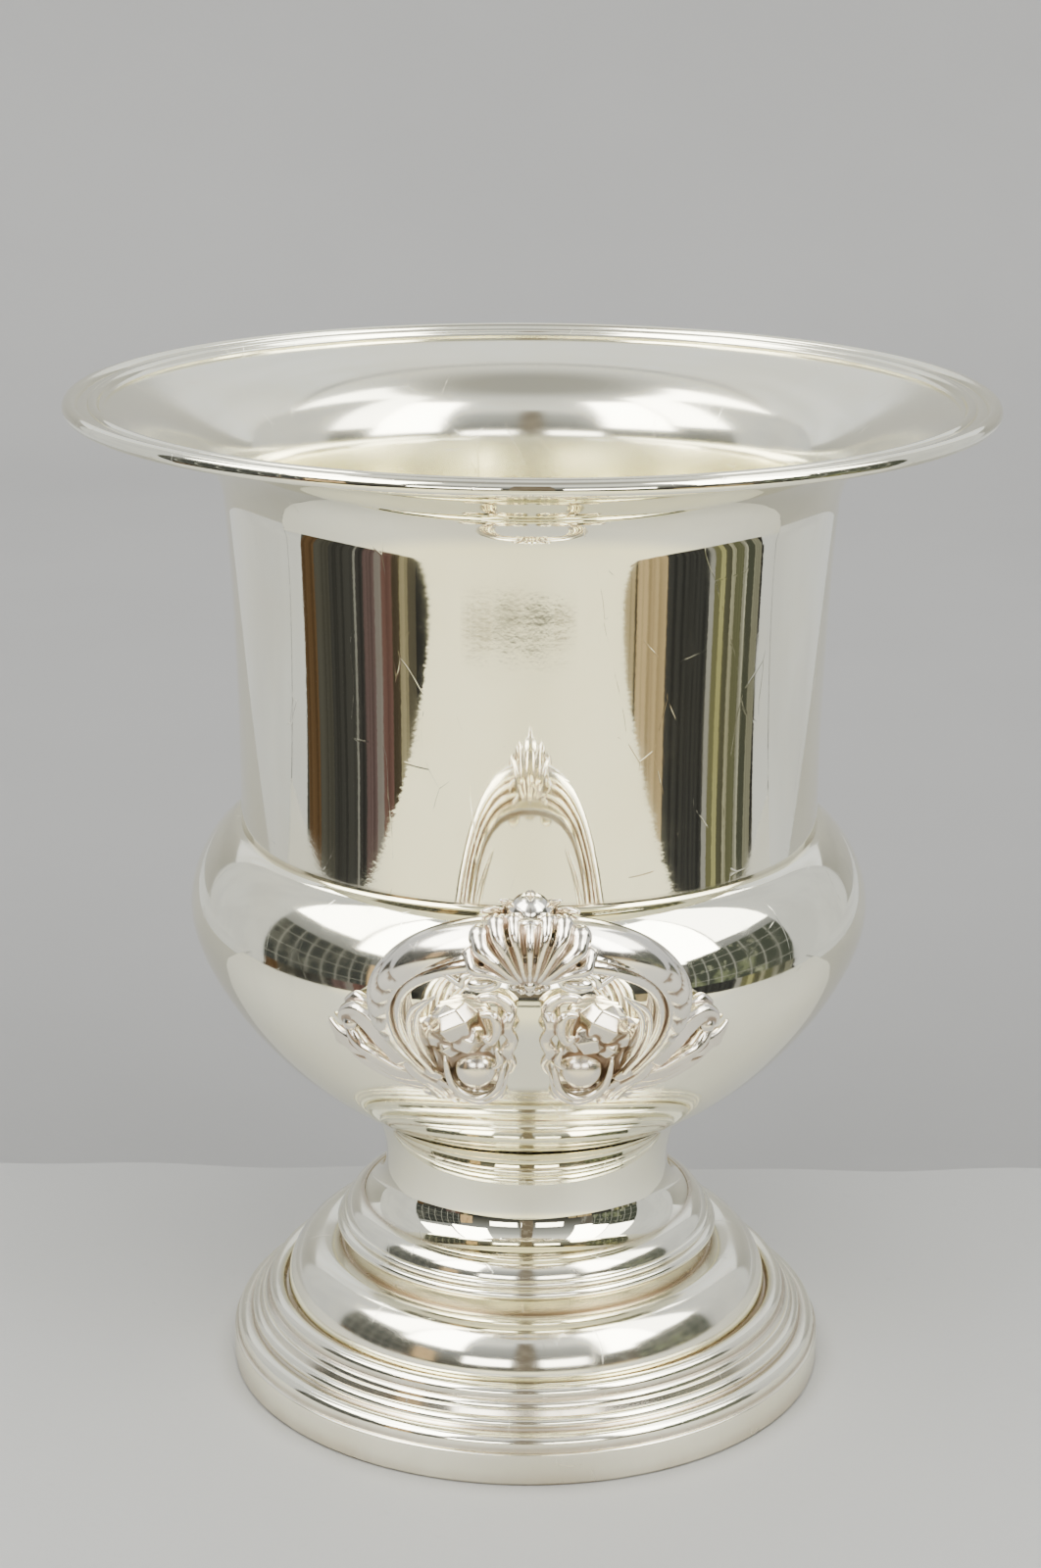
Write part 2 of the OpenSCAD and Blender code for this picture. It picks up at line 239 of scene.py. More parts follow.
# ------------------------------------------------------------------ metal
def silver(name, spun=0.0, dull_lip=0.0, rough=(0.05, 0.11), worn=0.25, tint=(0.97, 0.945, 0.755), level=0.0,
           patina_and_shade_colour=(0.23, 0.15, 0.09)):
    """Plated silver: spinning marks round the axis, fine scratches, smears, and a brown tone where the hollow
    mark is set: tarnished grooves and hollows, and painted shade where a mark stands in for a contact shadow.

    spun: depth of the spinning marks in metres. dull_lip: roughness added inside. rough: least and most
    roughness. worn: share of smears. level: unevenness of a casting, 0 to 1."""
    m, t = material(name, tint)
    geo = t.t.nodes.new("ShaderNodeNewGeometry")
    pos = geo.outputs["Position"]
    x, y, z = t.split(pos)
    angle = t.math("ARCTAN2", x, t.math("MULTIPLY", y, -1))
    turn = t.add("ShaderNodeCombineXYZ", {0: t.math("MULTIPLY", angle, 0.004), 1: t.length(x, y), 2: z})
    cloud = t.noise(pos, 26, 5, 0.6)
    smear = t.noise(t.stretch(pos, 1, 1, 0.35), 95, 4, 0.6)
    fine = t.noise(pos, 900, 2, 0.5)
    # the hollow mark turns the metal brown and rougher: tarnished grooves and hollows, and painted shade
    # where a mark stands in for a contact shadow
    hollow = t.add("ShaderNodeAttribute", {}, out=2, attribute_name="hollow")
    patina_and_shade_mask = t.math("MULTIPLY", hollow, t.span(cloud, 0.25, 0.62, 0.55, 1.0), clamp=True)
    warm = t.mix(t.span(cloud, 0.35, 0.7), tint, tuple(c * k for c, k in zip(tint, (0.985, 0.965, 0.925))))
    dull = t.mix(t.math("MULTIPLY", t.span(smear, 0.52, 0.75), worn), warm, tuple(c * 0.86 for c in tint))
    col = t.mix(patina_and_shade_mask, dull, patina_and_shade_colour)
    # scratches: thin threads along the edges of warped cells
    warp = t.add("ShaderNodeVectorMath", {0: pos, 1: t.add("ShaderNodeVectorMath", {
        0: t.noise(pos, 14, 2, 0.5), 1: (0.03, 0.03, 0.03)}, operation="MULTIPLY")}, operation="ADD")
    cell = t.add("ShaderNodeTexVoronoi", {"Vector": t.stretch(warp, 1, 1, 0.42), "Scale": 85.0},
                 feature="DISTANCE_TO_EDGE")
    scratch = t.math("MULTIPLY", t.span(cell, 0.0, 0.012, 1.0, 0.0), t.span(smear, 0.5, 0.66))
    r0 = t.span(cloud, 0.3, 0.7, rough[0], rough[1])
    r1 = t.math("ADD", r0, t.math("MULTIPLY", scratch, 0.12))
    r2 = t.math("ADD", r1, t.math("MULTIPLY", t.span(smear, 0.55, 0.8), 0.07 * worn * 4))
    r3 = t.math("ADD", r2, t.math("MULTIPLY", patina_and_shade_mask, 0.26))
    if dull_lip:
        # the inside is wiped rather than polished
        facing = t.split(geo.outputs["Normal"])
        out = t.math("ADD", t.math("MULTIPLY", facing[0], x), t.math("MULTIPLY", facing[1], y))
        inside = t.span(out, 0.0, -0.01)
        r3 = t.math("ADD", r3, t.math("MULTIPLY", inside, dull_lip))
    # bump: spinning ripple, dents too shallow to see, and the grain of the casting
    ring = t.noise(turn, 420, 2, 0.45)
    wide = t.noise(turn, 120, 2, 0.4)
    dent_depth, grain_depth, scratch_depth = 0.000014 + level * 0.0006, 0.000002 + level * 0.00005, 0.000012
    height = t.math("ADD", t.math("MULTIPLY", ring, spun), t.math("MULTIPLY", wide, spun * 1.6))
    height = t.math("ADD", height, t.math("MULTIPLY", t.noise(pos, 60, 2, 0.5), dent_depth))
    height = t.math("ADD", height, t.math("MULTIPLY", fine, grain_depth))
    height = t.math("SUBTRACT", height, t.math("MULTIPLY", scratch, scratch_depth))
    bump = t.add("ShaderNodeBump", {"Height": height, "Distance": 1.0, "Strength": 1.0})
    bsdf = t.add("ShaderNodeBsdfPrincipled",
                 {"Base Color": col, "Roughness": r3, "Metallic": 1.0, "Normal": bump})
    t.add("ShaderNodeOutputMaterial", {"Surface": bsdf})
    return m


# ------------------------------------------------------------------ studio
def emitter(name, colour, strength=1.0, bands=None):
    """A glow for the cards that only the metal sees; bands gives upright streaks of other tones."""
    m, t = material(name, colour)
    c = (*colour, 1.0)
    if bands:
        pos = t.add("ShaderNodeNewGeometry")
        c = colour
        for scale, tone, a, b, squash in bands:
            n = t.noise(t.stretch(pos, 1, 1, squash), scale, 3, 0.6)
            c = t.mix(t.span(n, a, b), c, tone)
    e = t.add("ShaderNodeEmission", {"Color": c, "Strength": strength})
    t.add("ShaderNodeOutputMaterial", {"Surface": e})
    return m


def card(name, corners, mat, seen=("glossy",)):
    """One flat face of the stage, in metres; seen names the kinds of ray that meet it."""
    me = bpy.data.meshes.new(name)
    me.from_pydata([tuple(c) for c in corners], [], [tuple(range(len(corners)))])
    me.materials.append(mat)
    ob = add_object(name, me)
    ob.visible_camera = "camera" in seen
    ob.visible_glossy = "glossy" in seen
    ob.visible_diffuse = "diffuse" in seen
    ob.visible_transmission = False
    ob.visible_volume_scatter = False
    ob.visible_shadow = "shadow" in seen
    return ob


def sky_card(name, az, el, mat, dist=2.4, about=(0, 0, 0.15), n=5):
    """A card on the sphere round the bucket, az and el each a pair of degrees; azimuth 0 is the -Y side."""
    def at(a, e):
        a, e = math.radians(a), math.radians(e)
        return (about[0] + dist * math.sin(a) * math.cos(e), about[1] - dist * math.cos(a) * math.cos(e),
                about[2] + dist * math.sin(e))
    low = [at(a, el[0]) for a in np.linspace(az[0], az[1], n)]
    high = [at(a, el[1]) for a in np.linspace(az[1], az[0], n)]
    return card(name, low + high, mat)


def upright(name, x0, y0, x1, y1, z0, z1, mat):
    return card(name, [(x0, y0, z0), (x1, y1, z0), (x1, y1, z1), (x0, y0, z1)], mat)


def flat(name, x0, y0, x1, y1, z, mat, seen):
    return card(name, [(x0, y0, z), (x1, y0, z), (x1, y1, z), (x0, y1, z)], mat, seen)


def ground(name, colour, spots, rough, mottle, near=None):
    """Matt ground. near is its tone towards the camera, painted light for the metal to reflect; with it goes
    a dark ring where the foot stands, a painted contact shadow.
    """
    m, t = material(name, colour)
    pos = t.add("ShaderNodeNewGeometry")
    big = t.noise(pos, 3.0, 4, 0.6)
    small = t.noise(pos, 160, 3, 0.6)
    c = t.mix(t.span(big, 0.3, 0.7), colour, tuple(v * (1 - mottle) for v in colour))
    c = t.mix(t.math("MULTIPLY", t.span(small, 0.62, 0.78), 0.35), c, spots)
    if near:
        x, y, z = t.split(pos)
        # painted light: towards the camera the ground turns to the near tone, which on the table is brighter
        # and warmer, for the metal to reflect
        c = t.mix(t.span(y, -0.16, -0.36), c, near)
        # painted contact shadow: a dark ring on the ground round the foot
        ring_out, ring_in = 0.0865, 0.0775
        foot = t.math("MULTIPLY", t.span(t.length(x, y), ring_out, ring_in), 0.55)
        c = t.mix(t.math("POWER", foot, 1.6), c, (0.10, 0.10, 0.09))
    bump = t.add("ShaderNodeBump", {"Height": t.noise(pos, 220, 3, 0.6), "Distance": 0.0005,
                                    "Strength": 0.25})
    bsdf = t.add("ShaderNodeBsdfPrincipled", {"Base Color": c, "Roughness": rough, "Normal": bump})
    t.add("ShaderNodeOutputMaterial", {"Surface": bsdf})
    return m


# ------------------------------------------------------------------ table and backdrop, in metres
table_back, table_front, under_z, floor_z = 0.115, -1.3, -0.004, -0.02


def table():
    """A pale slab whose back edge is a little uneven."""
    # the last tone is painted light: the table is brighter and warmer towards the camera, for the metal to
    # reflect
    top = ground("table_top", (0.52, 0.525, 0.515), (0.44, 0.44, 0.43), 0.6, 0.05, (0.90, 0.86, 0.62))
    edge = [(x, table_back + 0.0009 * math.sin(x * 97) + 0.0012 * math.sin(x * 41 + 1), 0)
            for x in np.linspace(0.57, -0.577, 140)]
    front = [(-0.17, table_front, 0), (0.09, table_front, 0), (0.348, -0.58, 0)]
    card("table", front + edge + [(-0.386, -0.555, 0)], top, ("camera", "glossy", "diffuse", "shadow"))
    flat("table_sides", -0.9, table_front, 0.9, 0.11, under_z, top, ("camera", "diffuse", "shadow"))


def backdrop():
    """One long sweep behind, and the same grey on the ground round the table."""
    grey = ground("backdrop_grey", (0.48, 0.48, 0.472), (0.46, 0.46, 0.455), 0.9, 0.05)
    half, near_y, bend_y, bend, top_z = 5, 0.125, 1.25, 0.45, 3.2
    run = [(0.118, under_z), (near_y, floor_z), (bend_y, floor_z)]
    run += [(bend_y + bend * math.sin(a), floor_z + bend * (1 - math.cos(a)))
            for a in np.linspace(0.1, math.pi / 2, 14)]
    run += [(bend_y + bend, top_z)]
    verts = []
    for y, z in run:
        verts += [(-half, y, z), (half, y, z)]
    faces = [(2 * i, 2 * i + 1, 2 * i + 3, 2 * i + 2) for i in range(len(run) - 1)]
    me = bpy.data.meshes.new("backdrop")
    me.from_pydata(verts, [], faces)
    me.polygons.foreach_set("use_smooth", [True] * len(faces))
    me.materials.append(grey)
    ob = add_object("backdrop", me)
    flat("ground_front", -half, -half, half, near_y, floor_z, grey, ("camera", "diffuse", "shadow"))


# ------------------------------------------------------------------ what the metal sees of the room
# The sides of the room stand at room_x. Low down they are upright strips, from the back towards the camera:
# where the first begins, then where each ends and its tone.
room_x, strip_foot, sill_z, window_top = 0.75, -0.7, 0.035, 0.43
window_back, window_front, bar_count, rail_count = 0.02, -0.60, 7, 3
left_strips = (0.02, (
    (-0.065, (0.13, 0.08, 0.045)), (-0.16, (0.085, 0.083, 0.075)), (-0.315, (0.060, 0.060, 0.060)),
    (-0.328, (0.34, 0.34, 0.33)), (-0.379, (0.06, 0.058, 0.06)), (-0.46, (0.15, 0.105, 0.11)),
    (-0.51, (0.24, 0.22, 0.22)), (-0.593, (0.16, 0.09, 0.085)), (-0.66, (0.075, 0.06, 0.045)),
    (-0.735, (0.36, 0.32, 0.21)), (-0.82, (0.10, 0.09, 0.07)), (-1.1, (0.03, 0.03, 0.032))))
right_strips = (0.03, (
    (0.015, (0.03, 0.03, 0.03)), (-0.03, (0.30, 0.30, 0.24)), (-0.075, (0.07, 0.075, 0.06)),
    (-0.10, (0.50, 0.50, 0.42)), (-0.15, (0.14, 0.145, 0.09)), (-0.175, (0.55, 0.54, 0.40)),
    (-0.215, (0.10, 0.10, 0.07)), (-0.245, (0.42, 0.41, 0.20)), (-0.283, (0.16, 0.16, 0.09)),
    (-0.315, (0.36, 0.36, 0.35)), (-0.627, (0.055, 0.056, 0.058)), (-0.93, (0.66, 0.50, 0.29)),
    (-0.96, (0.06, 0.05, 0.04)), (-1.2, (0.50, 0.40, 0.24)), (-1.3, (0.05, 0.05, 0.05))))
# for each side: dark glass and its two streaks, then the pillar and its streak
room_sides = (
    ("left", -room_x, left_strips, (0.055, 0.06, 0.062), (0.12, 0.125, 0.12), (0.05, 0.05, 0.05),
     (0.85, 0.60, 0.34), (0.60, 0.40, 0.22)),
    ("right", room_x, right_strips, (0.07, 0.08, 0.07), (0.20, 0.23, 0.15), (0.42, 0.45, 0.34),
     (0.14, 0.13, 0.12), (0.30, 0.30, 0.29)))


def softboxes():
    white = emitter("glow_white", (1.0, 0.99, 0.97), 15.0)
    sky_card("softbox_left", (-60, -31), (23, 62), white)
    sky_card("softbox_right", (38, 67), (16, 60), white)
    bar = emitter("glow_bar", (1.0, 0.98, 0.95), 10.0)
    sky_card("bar_left", (-28, -7), (4, 15), bar)
    sky_card("bar_right", (7, 28), (4, 15), bar)
    sky_card("ceiling_left", (-126, -62), (30, 67), emitter("glow_ceiling_left", (1.0, 1.0, 0.98), 12.0))
    sky_card("ceiling_right", (68, 126), (26, 66), emitter("glow_ceiling_right", (1.0, 1.0, 0.98), 8.0))


def side_of_room(word, x, strips, glass_tone, haze, streak, pillar_tone, pillar_streak):
    """Low strips; above them a window of dark panes between thin pale bars, and a pillar."""
    y0, rest = strips
    for i, (y1, tone) in enumerate(rest):
        name = f"side_{word}_{i}"
        shade = tuple(c * 0.55 for c in tone)
        upright(name, x, y1, x, y0, strip_foot, sill_z,
                emitter(name, tone, 1.0, [(30.0, shade, 0.45, 0.7, 0.05)]))
        y0 = y1
    glass = emitter(f"window_{word}", glass_tone, 1.0,
                    [(7.0, haze, 0.5, 0.62, 0.6), (23.0, streak, 0.60, 0.70, 0.5)])
    upright(f"window_{word}", x, window_front, x, window_back, sill_z, window_top, glass)
    bars = emitter(f"window_bars_{word}", (0.42, 0.43, 0.42))
    for i in range(bar_count):
        y = -0.06 - 0.085 * i
        upright(f"bar_{word}_{i}", x * 0.998, y - 0.0035, x * 0.998, y + 0.0035, sill_z, window_top, bars)
    for i in range(rail_count):
        z = 0.10 + 0.12 * i
        upright(f"rail_{word}_{i}", x * 0.997, window_front, x * 0.997, window_back, z - 0.002, z + 0.002,
                bars)
    upright(f"pillar_{word}", x, -0.85, x, -0.61, sill_z, 0.36, emitter(
        f"pillar_{word}", pillar_tone, 1.0, [(12.0, pillar_streak, 0.5, 0.6, 0.2)]))


def behind_and_before():
    """Pale wings and wall behind, a dark figure in front, and dark patches low down before the foot."""
    near_y, far_y, wing_z = 0.02, 1.7, -0.015
    pale = emitter("wing_pale", (0.86, 0.885, 0.93), 1.0, [(2.0, (0.78, 0.80, 0.85), 0.4, 0.6, 1.0)])
    for s, word in ((-1, "left"), (1, "right")):
        upright(f"wing_{word}", s * room_x, near_y, s * far_y, far_y, -0.02, 1.6, pale)
        card(f"wing_floor_{word}", [(s * 0.5, near_y, wing_z), (s * 0.76, near_y, wing_z),
                                    (s * far_y, far_y, wing_z),
                                    (s * 0.5, far_y, wing_z)], pale)
    upright("backdrop_high", -2.2, 1.68, 2.2, 1.68, 0.85, 2.9, emitter(
        "backdrop_glow", (1.3, 1.34, 1.42), 1.0, [(1.2, (1.1, 1.14, 1.2), 0.4, 0.6, 1.0)]))
    sky_card("person_dark", (-5, 5), (-2, 48), emitter(
        "camera_side_dark", (0.20, 0.165, 0.13), 1.0, [(6.0, (0.32, 0.28, 0.23), 0.5, 0.62, 0.3)]))
    above = 0.002
    spot = emitter("foot_dark", (0.07, 0.075, 0.08), 1.0, [(60.0, (0.13, 0.13, 0.13), 0.5, 0.62, 0.5)])
    card("foot_patch", [(-0.155, -0.78, above), (0.09, -0.78, above), (0.09, -0.6405, above),
                        (-0.038, -0.6445, above), (-0.155, -0.631, above)], spot)
    shade = emitter("foot_shade", (0.42, 0.38, 0.29), 1.0, [(60.0, (0.7, 0.66, 0.52), 0.5, 0.62, 0.5)])
    for letter, x0, x1, y0, y1 in (("l", -0.155, -0.28, -0.628, -0.592), ("r", 0.09, 0.188, -0.638, -0.626)):
        card(f"foot_shade_{letter}", [(x0, -0.70, above), (x1, y1, above), (x0, y0, above)], shade)


def surroundings():
    """World: even and pale for light; for reflections a ramp from a dim room to a white ceiling."""
    world = bpy.data.worlds.new("room")
    bpy.context.scene.world = world
    world.use_nodes = True
    t = Tree(world)
    x, y, z = t.split(t.add("ShaderNodeTexCoord"))
    ramp = t.t.nodes.new("ShaderNodeValToRGB")
    t.t.links.new(t.span(z, -1, 1, 0, 1, False), ramp.inputs[0])
    tones = [(0.0, (0.10, 0.095, 0.085)), (0.49, (0.06, 0.06, 0.058)), (0.56, (0.13, 0.13, 0.125)),
             (0.68, (0.28, 0.29, 0.31)), (0.80, (0.55, 0.57, 0.60)), (0.87, (1.2, 1.22, 1.25)),
             (0.955, (0.95, 0.97, 1.0)), (0.988, (0.42, 0.42, 0.42))]
    stops = ramp.color_ramp.elements
    while len(stops) < len(tones):
        stops.new(0.5)
    for stop, (place, tone) in zip(stops, tones):
        stop.position = place
        stop.color = (*tone, 1)
    back = t.math("MULTIPLY", t.span(y, 0.2, 0.6), t.span(z, 0.94, 0.86, 0, 1))
    seen = t.mix(back, ramp.outputs[0], (1.35, 1.37, 1.38))
    room = t.add("ShaderNodeBackground", {"Color": seen, "Strength": 1.0})
    even = t.add("ShaderNodeBackground", {"Color": (0.47, 0.47, 0.465, 1), "Strength": 1.0})
    path = t.t.nodes.new("ShaderNodeLightPath")
    mixed = t.add("ShaderNodeMixShader", {0: path.outputs["Is Glossy Ray"], 1: even, 2: room})
    t.add("ShaderNodeOutputWorld", {"Surface": mixed})


def lamps():
    """Lights for the table and the backdrop; the metal sees the cards instead."""
    for name, at, size, power, aim in (
            ("key_left", (-1.3, -1.3, 1.7), 0.9, 26, (0, 0, 0.1)),
            ("key_right", (1.3, -1.2, 1.6), 0.9, 24, (0, 0, 0.1)),
            ("over", (0, -0.2, 2.3), 1.6, 14, (0, 0.2, 0)),
            ("front_wash", (0.04, -0.62, 1.0), 0.45, 5.0, (0.03, -0.40, 0)),
            ("back_wash", (0.0, 0.5, 1.5), 0.9, 6.0, (0.0, 1.7, 0.75))):
        d = bpy.data.lights.new(name, "AREA")
        d.size = size
        d.energy = power
        d.color = (1.0, 0.995, 0.98)
        ob = add_object(name, d)
        ob.location = at
        ob.rotation_euler = (Vector(aim) - Vector(at)).to_track_quat("-Z", "Y").to_euler()
        ob.visible_glossy = False


table()
backdrop()
softboxes()
for one_side in room_sides:
    side_of_room(*one_side)
behind_and_before()
surroundings()
lamps()

# ------------------------------------------------------------------ metals
metal_body = silver("silver_spun", spun=0.0000013, dull_lip=0.10, rough=(0.02, 0.055), worn=0.22)
metal_foot = silver("silver_foot", spun=0.0000018, rough=(0.085, 0.15), worn=0.30, tint=(0.93, 0.905, 0.74))
metal_bowl = silver("silver_bowl", spun=0.0000020, dull_lip=0.10, rough=(0.04, 0.09), worn=0.30)
metal_cast = silver("silver_cast", spun=0.0, rough=(0.15, 0.24), worn=0.30, level=0.22,
                    tint=(0.80, 0.745, 0.63))
metal_arch = silver("silver_arch", spun=0.0, rough=(0.13, 0.19), worn=0.25, level=0.07,
                    tint=(0.88, 0.84, 0.73))


# ------------------------------------------------------------------ spun pieces
def spun_pieces():
    # straight wall, flare and flat lip
    lathe("upper_body_shell", np.vstack([pts([waist_r - wall, waist_z]), wall_out, lip_b,
                                         wall_in[1:-1][::-1]]),
          metal_body, ["upper_body"])
    # rim: outer bead, hollow, reed and thin step
    bead = (rim_r - bead_r, body_h - bead_r)
    reed = (lip_a[0] + 2.6, lip_a[1] + 1.1)
    lathe("rim_bead_and_reed", np.vstack([
        lip_b, pts([lip_r1, lip_z], [lip_r1, lip_z - 1.2]), arc(bead, bead_r, -70, 165, 40),
        pts([(bead[0] - bead_r + reed[0] + 1.4) / 2, lip_b[1] + 0.5]), arc(reed, 1.4, 20, 160, 24),
        bez([lip_a + [1.1, 1.15], lip_a + [0.8, 0.7], lip_a + [0.5, 0.6], lip_a + [0, 0.6]], 8), lip_a]),
        metal_body, ["rim_moulding"], sharp=40)
    # lower bowl with its floor
    floor_in = np.array([joint_r + 3, joint_z + 3.4])
    keep = np.array([p for p in bowl_in if p[0] > floor_in[0] + 1.0 and p[0] < bowl_r and p[1] < waist_z
                     - 1])
    floor = bez([[0, joint_z + 0.6 + wall], [18, joint_z + 0.6 + wall], [joint_r - 8, joint_z + 1.6],
                 floor_in], 24)
    lathe("lower_bowl_shell", np.vstack([
        bez([[0.02, joint_z + 0.6], [18, joint_z + 0.6], [30, joint_z], [stem_r, joint_z]], 10), bowl_out,
        pts([waist_r - wall, waist_z]), keep[::-1], floor[::-1][:-1], pts([0.02, joint_z + 0.6 + wall])]),
        metal_bowl, ["lower_bowl"])
    # stem
    stem_out = np.vstack([
        bez([[stem_r, stem_z], [neck_r + 1.6, stem_z + 2.6], [neck_r, neck_z - 4.5], [neck_r, neck_z]], 30),
        bez([[neck_r, neck_z], [neck_r, neck_z + 8], [joint_r - 7.5, joint_z - 4.5], [joint_r, joint_z]],
            40)[1:]])
    stem_in = offs(stem_out, wall)
    inner = np.array([p for p in stem_in if stem_z + 2.4 < p[1] < joint_z - 6])
    lathe("stem_shell", np.vstack([
        pts([stem_r - tuck, stem_z]), stem_out,
        pts([joint_r - tuck, joint_z], [joint_r - tuck - 2, joint_z - wall - 1]),
        inner[::-1], pts([stem_r - tuck, stem_z + wall])]), metal_body, ["stem"])
    # collar: rounded shoulder over two reeds and an upright cove
    edge, sp = tier_r - 1.9, stem_z - tier_z
    lathe("collar_reeds", np.vstack([
        pts([seat_r - tuck, tier_z], [seat_r, tier_z], [seat_r, tier_z + sp * 0.27]),
        arc((tier_r - 1.1, tier_z + sp * 0.42), sp * 0.1, -75, 80, 24),
        arc((tier_r - 2, tier_z + sp * 0.6), sp * 0.075, -55, 90, 20),
        bez([[edge - 0.3, tier_z + sp * 0.7], [edge - 0.8, stem_z - 2.2], [stem_r + 2.6, stem_z - 0.2],
             [stem_r + 0.5, stem_z + 0.2]], 30),
        pts([stem_r, stem_z + 0.2], [stem_r, stem_z], [stem_r - tuck, stem_z],
            [stem_r - tuck, stem_z - wall],
            [seat_r - tuck, tier_z + 3])]), metal_foot, ["stem_collar"], sharp=40)
    # dome
    dome = np.vstack([
        pts([dome_r - 0.4, dome_z]),
        bez([[dome_r - 0.1, dome_z + 0.6], [dome_r, dome_z + 6.4], [dome_r - 4.3, tier_z + 1.5],
             [dome_r - 9.8, tier_z + 1.5]], 40),
        bez([[dome_r - 9.8, tier_z + 1.5], [dome_r - 10.6, tier_z + 1.5], [seat_r + 1.0, tier_z + 0.8],
             [seat_r + 0.3, tier_z]], 12)[1:]])
    lathe("foot_dome_shell", np.vstack([
        pts([dome_r - tuck, dome_z]), dome, pts(
            [seat_r - tuck, tier_z], [seat_r - tuck, tier_z - wall], [dome_r - 10, tier_z - wall],
            [dome_r - 5, tier_z - 3.5], [dome_r - 2.4, dome_z + 5], [dome_r - 1.8, dome_z + wall],
            [dome_r - tuck, dome_z + wall])]), metal_foot, ["foot_dome"])
    # base: reed, steps and cove, reed, ovolo and upright band
    r = foot_r
    lathe("foot_base_mouldings", np.vstack([
        pts([r - 3.4, 0], [r - 1.0, 0]), arc((r - 0.8, 0.8), 0.8, -80, 0, 8),
        arc((r - 0.4, band_h - 0.4), 0.4, 0, 90, 6),
        pts([r - 0.75, band_h + 0.15], [r - 0.9, band_h + 0.8]),
        arc((r - 3.5, band_h + 1.6), 2.5, 0, 90, 24), pts([r - 4.7, band_h + 4]),
        arc((r - 6.6, band_h + 5.2), 1.7, -25, 95, 24),
        arc((r - 7.75, dome_z - 3.1), 0.55, 10, 120, 8),
        bez([[r - 8.2, dome_z - 1.9], [r - 8.5, dome_z - 1.3], [r - 8.9, dome_z - 1.1],
             [r - 9.3, dome_z - 0.9]], 10),
        arc((dome_r + 2.8, dome_z), 2.1, -8, 172, 40),
        pts([dome_r + 0.4, dome_z], [dome_r - tuck, dome_z], [dome_r - tuck, dome_z - wall],
            [dome_r + 3, dome_z - 3],
            [r - 8, band_h + 2], [r - 3.4, band_h - 2])]), metal_foot, ["foot_base"], sharp=40)


def points_of(me):
    v = np.empty(len(me.vertices) * 3)
    me.vertices.foreach_get("co", v)
    return v.reshape(-1, 3) / MM


def write_hollow(me, depth):
    me.attributes.new("hollow", "FLOAT", "POINT").data.foreach_set("value", depth.astype(np.float32))


def mark_grooves(names, grooves):
    """Dark marks for the spun pieces, tarnished grooves and one painted shadow line: grooves is a list of
    (radius, height, spread, strength) in millimetres.
    """
    for name in names:
        me = bpy.data.objects[name].data
        v = points_of(me)
        r = np.hypot(v[:, 0], v[:, 1])
        depth = np.zeros(len(v))
        for groove_r, groove_z, spread, strength in grooves:
            near = np.exp(-((r - groove_r) ** 2 + (v[:, 2] - groove_z) ** 2) / spread ** 2)
            depth = np.maximum(depth, strength * near)
        write_hollow(me, depth)


spun_pieces()
# the first spot darkens the foot's bottom edge where the band meets the table, painted shade standing in for
# a contact shadow; the other spots are tarnished grooves and joints
mark_grooves(
    ("stem_shell", "collar_reeds", "foot_dome_shell", "foot_base_mouldings", "lower_bowl_shell",
     "upper_body_shell"),
    ((foot_r - 0.6, 0.3, 0.9, 0.9), (foot_r - 0.9, band_h + 0.5, 0.8, 0.7),
     (foot_r - 4.7, band_h + 4, 0.9, 0.75),
     (foot_r - 7.3, dome_z - 3.6, 0.8, 0.7), (foot_r - 9.3, dome_z - 0.9, 0.9, 0.7),
     (dome_r + 0.4, dome_z, 1.0, 0.8),
     (seat_r + 0.3, tier_z, 1.2, 0.8), (tier_r - 1.6, tier_z + (stem_z - tier_z) * 0.52, 0.5, 0.6),
     (stem_r + 0.3, stem_z, 0.9, 0.7), (joint_r, joint_z, 0.7, 0.25), (waist_r, waist_z, 0.8, 0.5)))


# ------------------------------------------------------------------ cast handles, drawn for the front one
handle_reach, handle_spread, root_gap, pearl_r = 40.5, 31.0, 33.0, 4.75
bar_w, bar_t, arm_w, arm_t = 13.0, 14.0, 10.4, 9.6
bar_y, bar_z, root_z, root_x = bowl_r + handle_reach, 160.0, 102.0, root_gap / 2
half_line = [[0, -bar_y, bar_z], [handle_spread * 1.42, -bar_y, bar_z],
             [handle_spread * 1.1, -bar_y + handle_reach * 0.68, bar_z - 30], [root_x, -bowl_r + 15, root_z]]
arch_up = np.array([0, bar_z - root_z, bar_y - bowl_r + 9.0])
arch_up /= np.linalg.norm(arch_up)
arch_out = np.array([0, -arch_up[2], arch_up[1]])
order = np.argsort(bowl_out[:, 1])
bowl_zs, bowl_rs = bowl_out[order, 1], bowl_out[order, 0]


def bowl_at(z):
    return np.interp(z, bowl_zs, bowl_rs)


def on_bowl(p):
    """Points given as distance sideways, height, and height off the bowl's surface."""
    p = np.atleast_2d(np.array(p, float))
    r = bowl_at(p[:, 1])
    slope = bowl_at(p[:, 1] + 0.5) - bowl_at(p[:, 1] - 0.5)
    nr, nz = 1 / np.sqrt(1 + slope ** 2), -slope / np.sqrt(1 + slope ** 2)
    a = p[:, 0] / (bowl_r - 2)
    rr = r + p[:, 2] * nr
    return np.stack([rr * np.sin(a), -rr * np.cos(a), p[:, 1] + p[:, 2] * nz], -1)


def curve(p, n=26):
    """Smooth run through control points (Catmull-Rom)."""
    p = np.array(p, float)
    q = np.vstack([2 * p[0] - p[1], p, 2 * p[-1] - p[-2]])
    out = []
    per = max(2, n // (len(p) - 1))
    for i in range(1, len(q) - 2):
        t = np.linspace(0, 1, per, endpoint=False)[:, None]
        a, b, c, d = q[i - 1], q[i], q[i + 1], q[i + 2]
        out.append(0.5 * (2 * b + (c - a) * t + (2 * a - 5 * b + 4 * c - d) * t ** 2
                          + (3 * b - a - 3 * c + d) * t ** 3))
    return np.vstack(out + [p[-1:]])


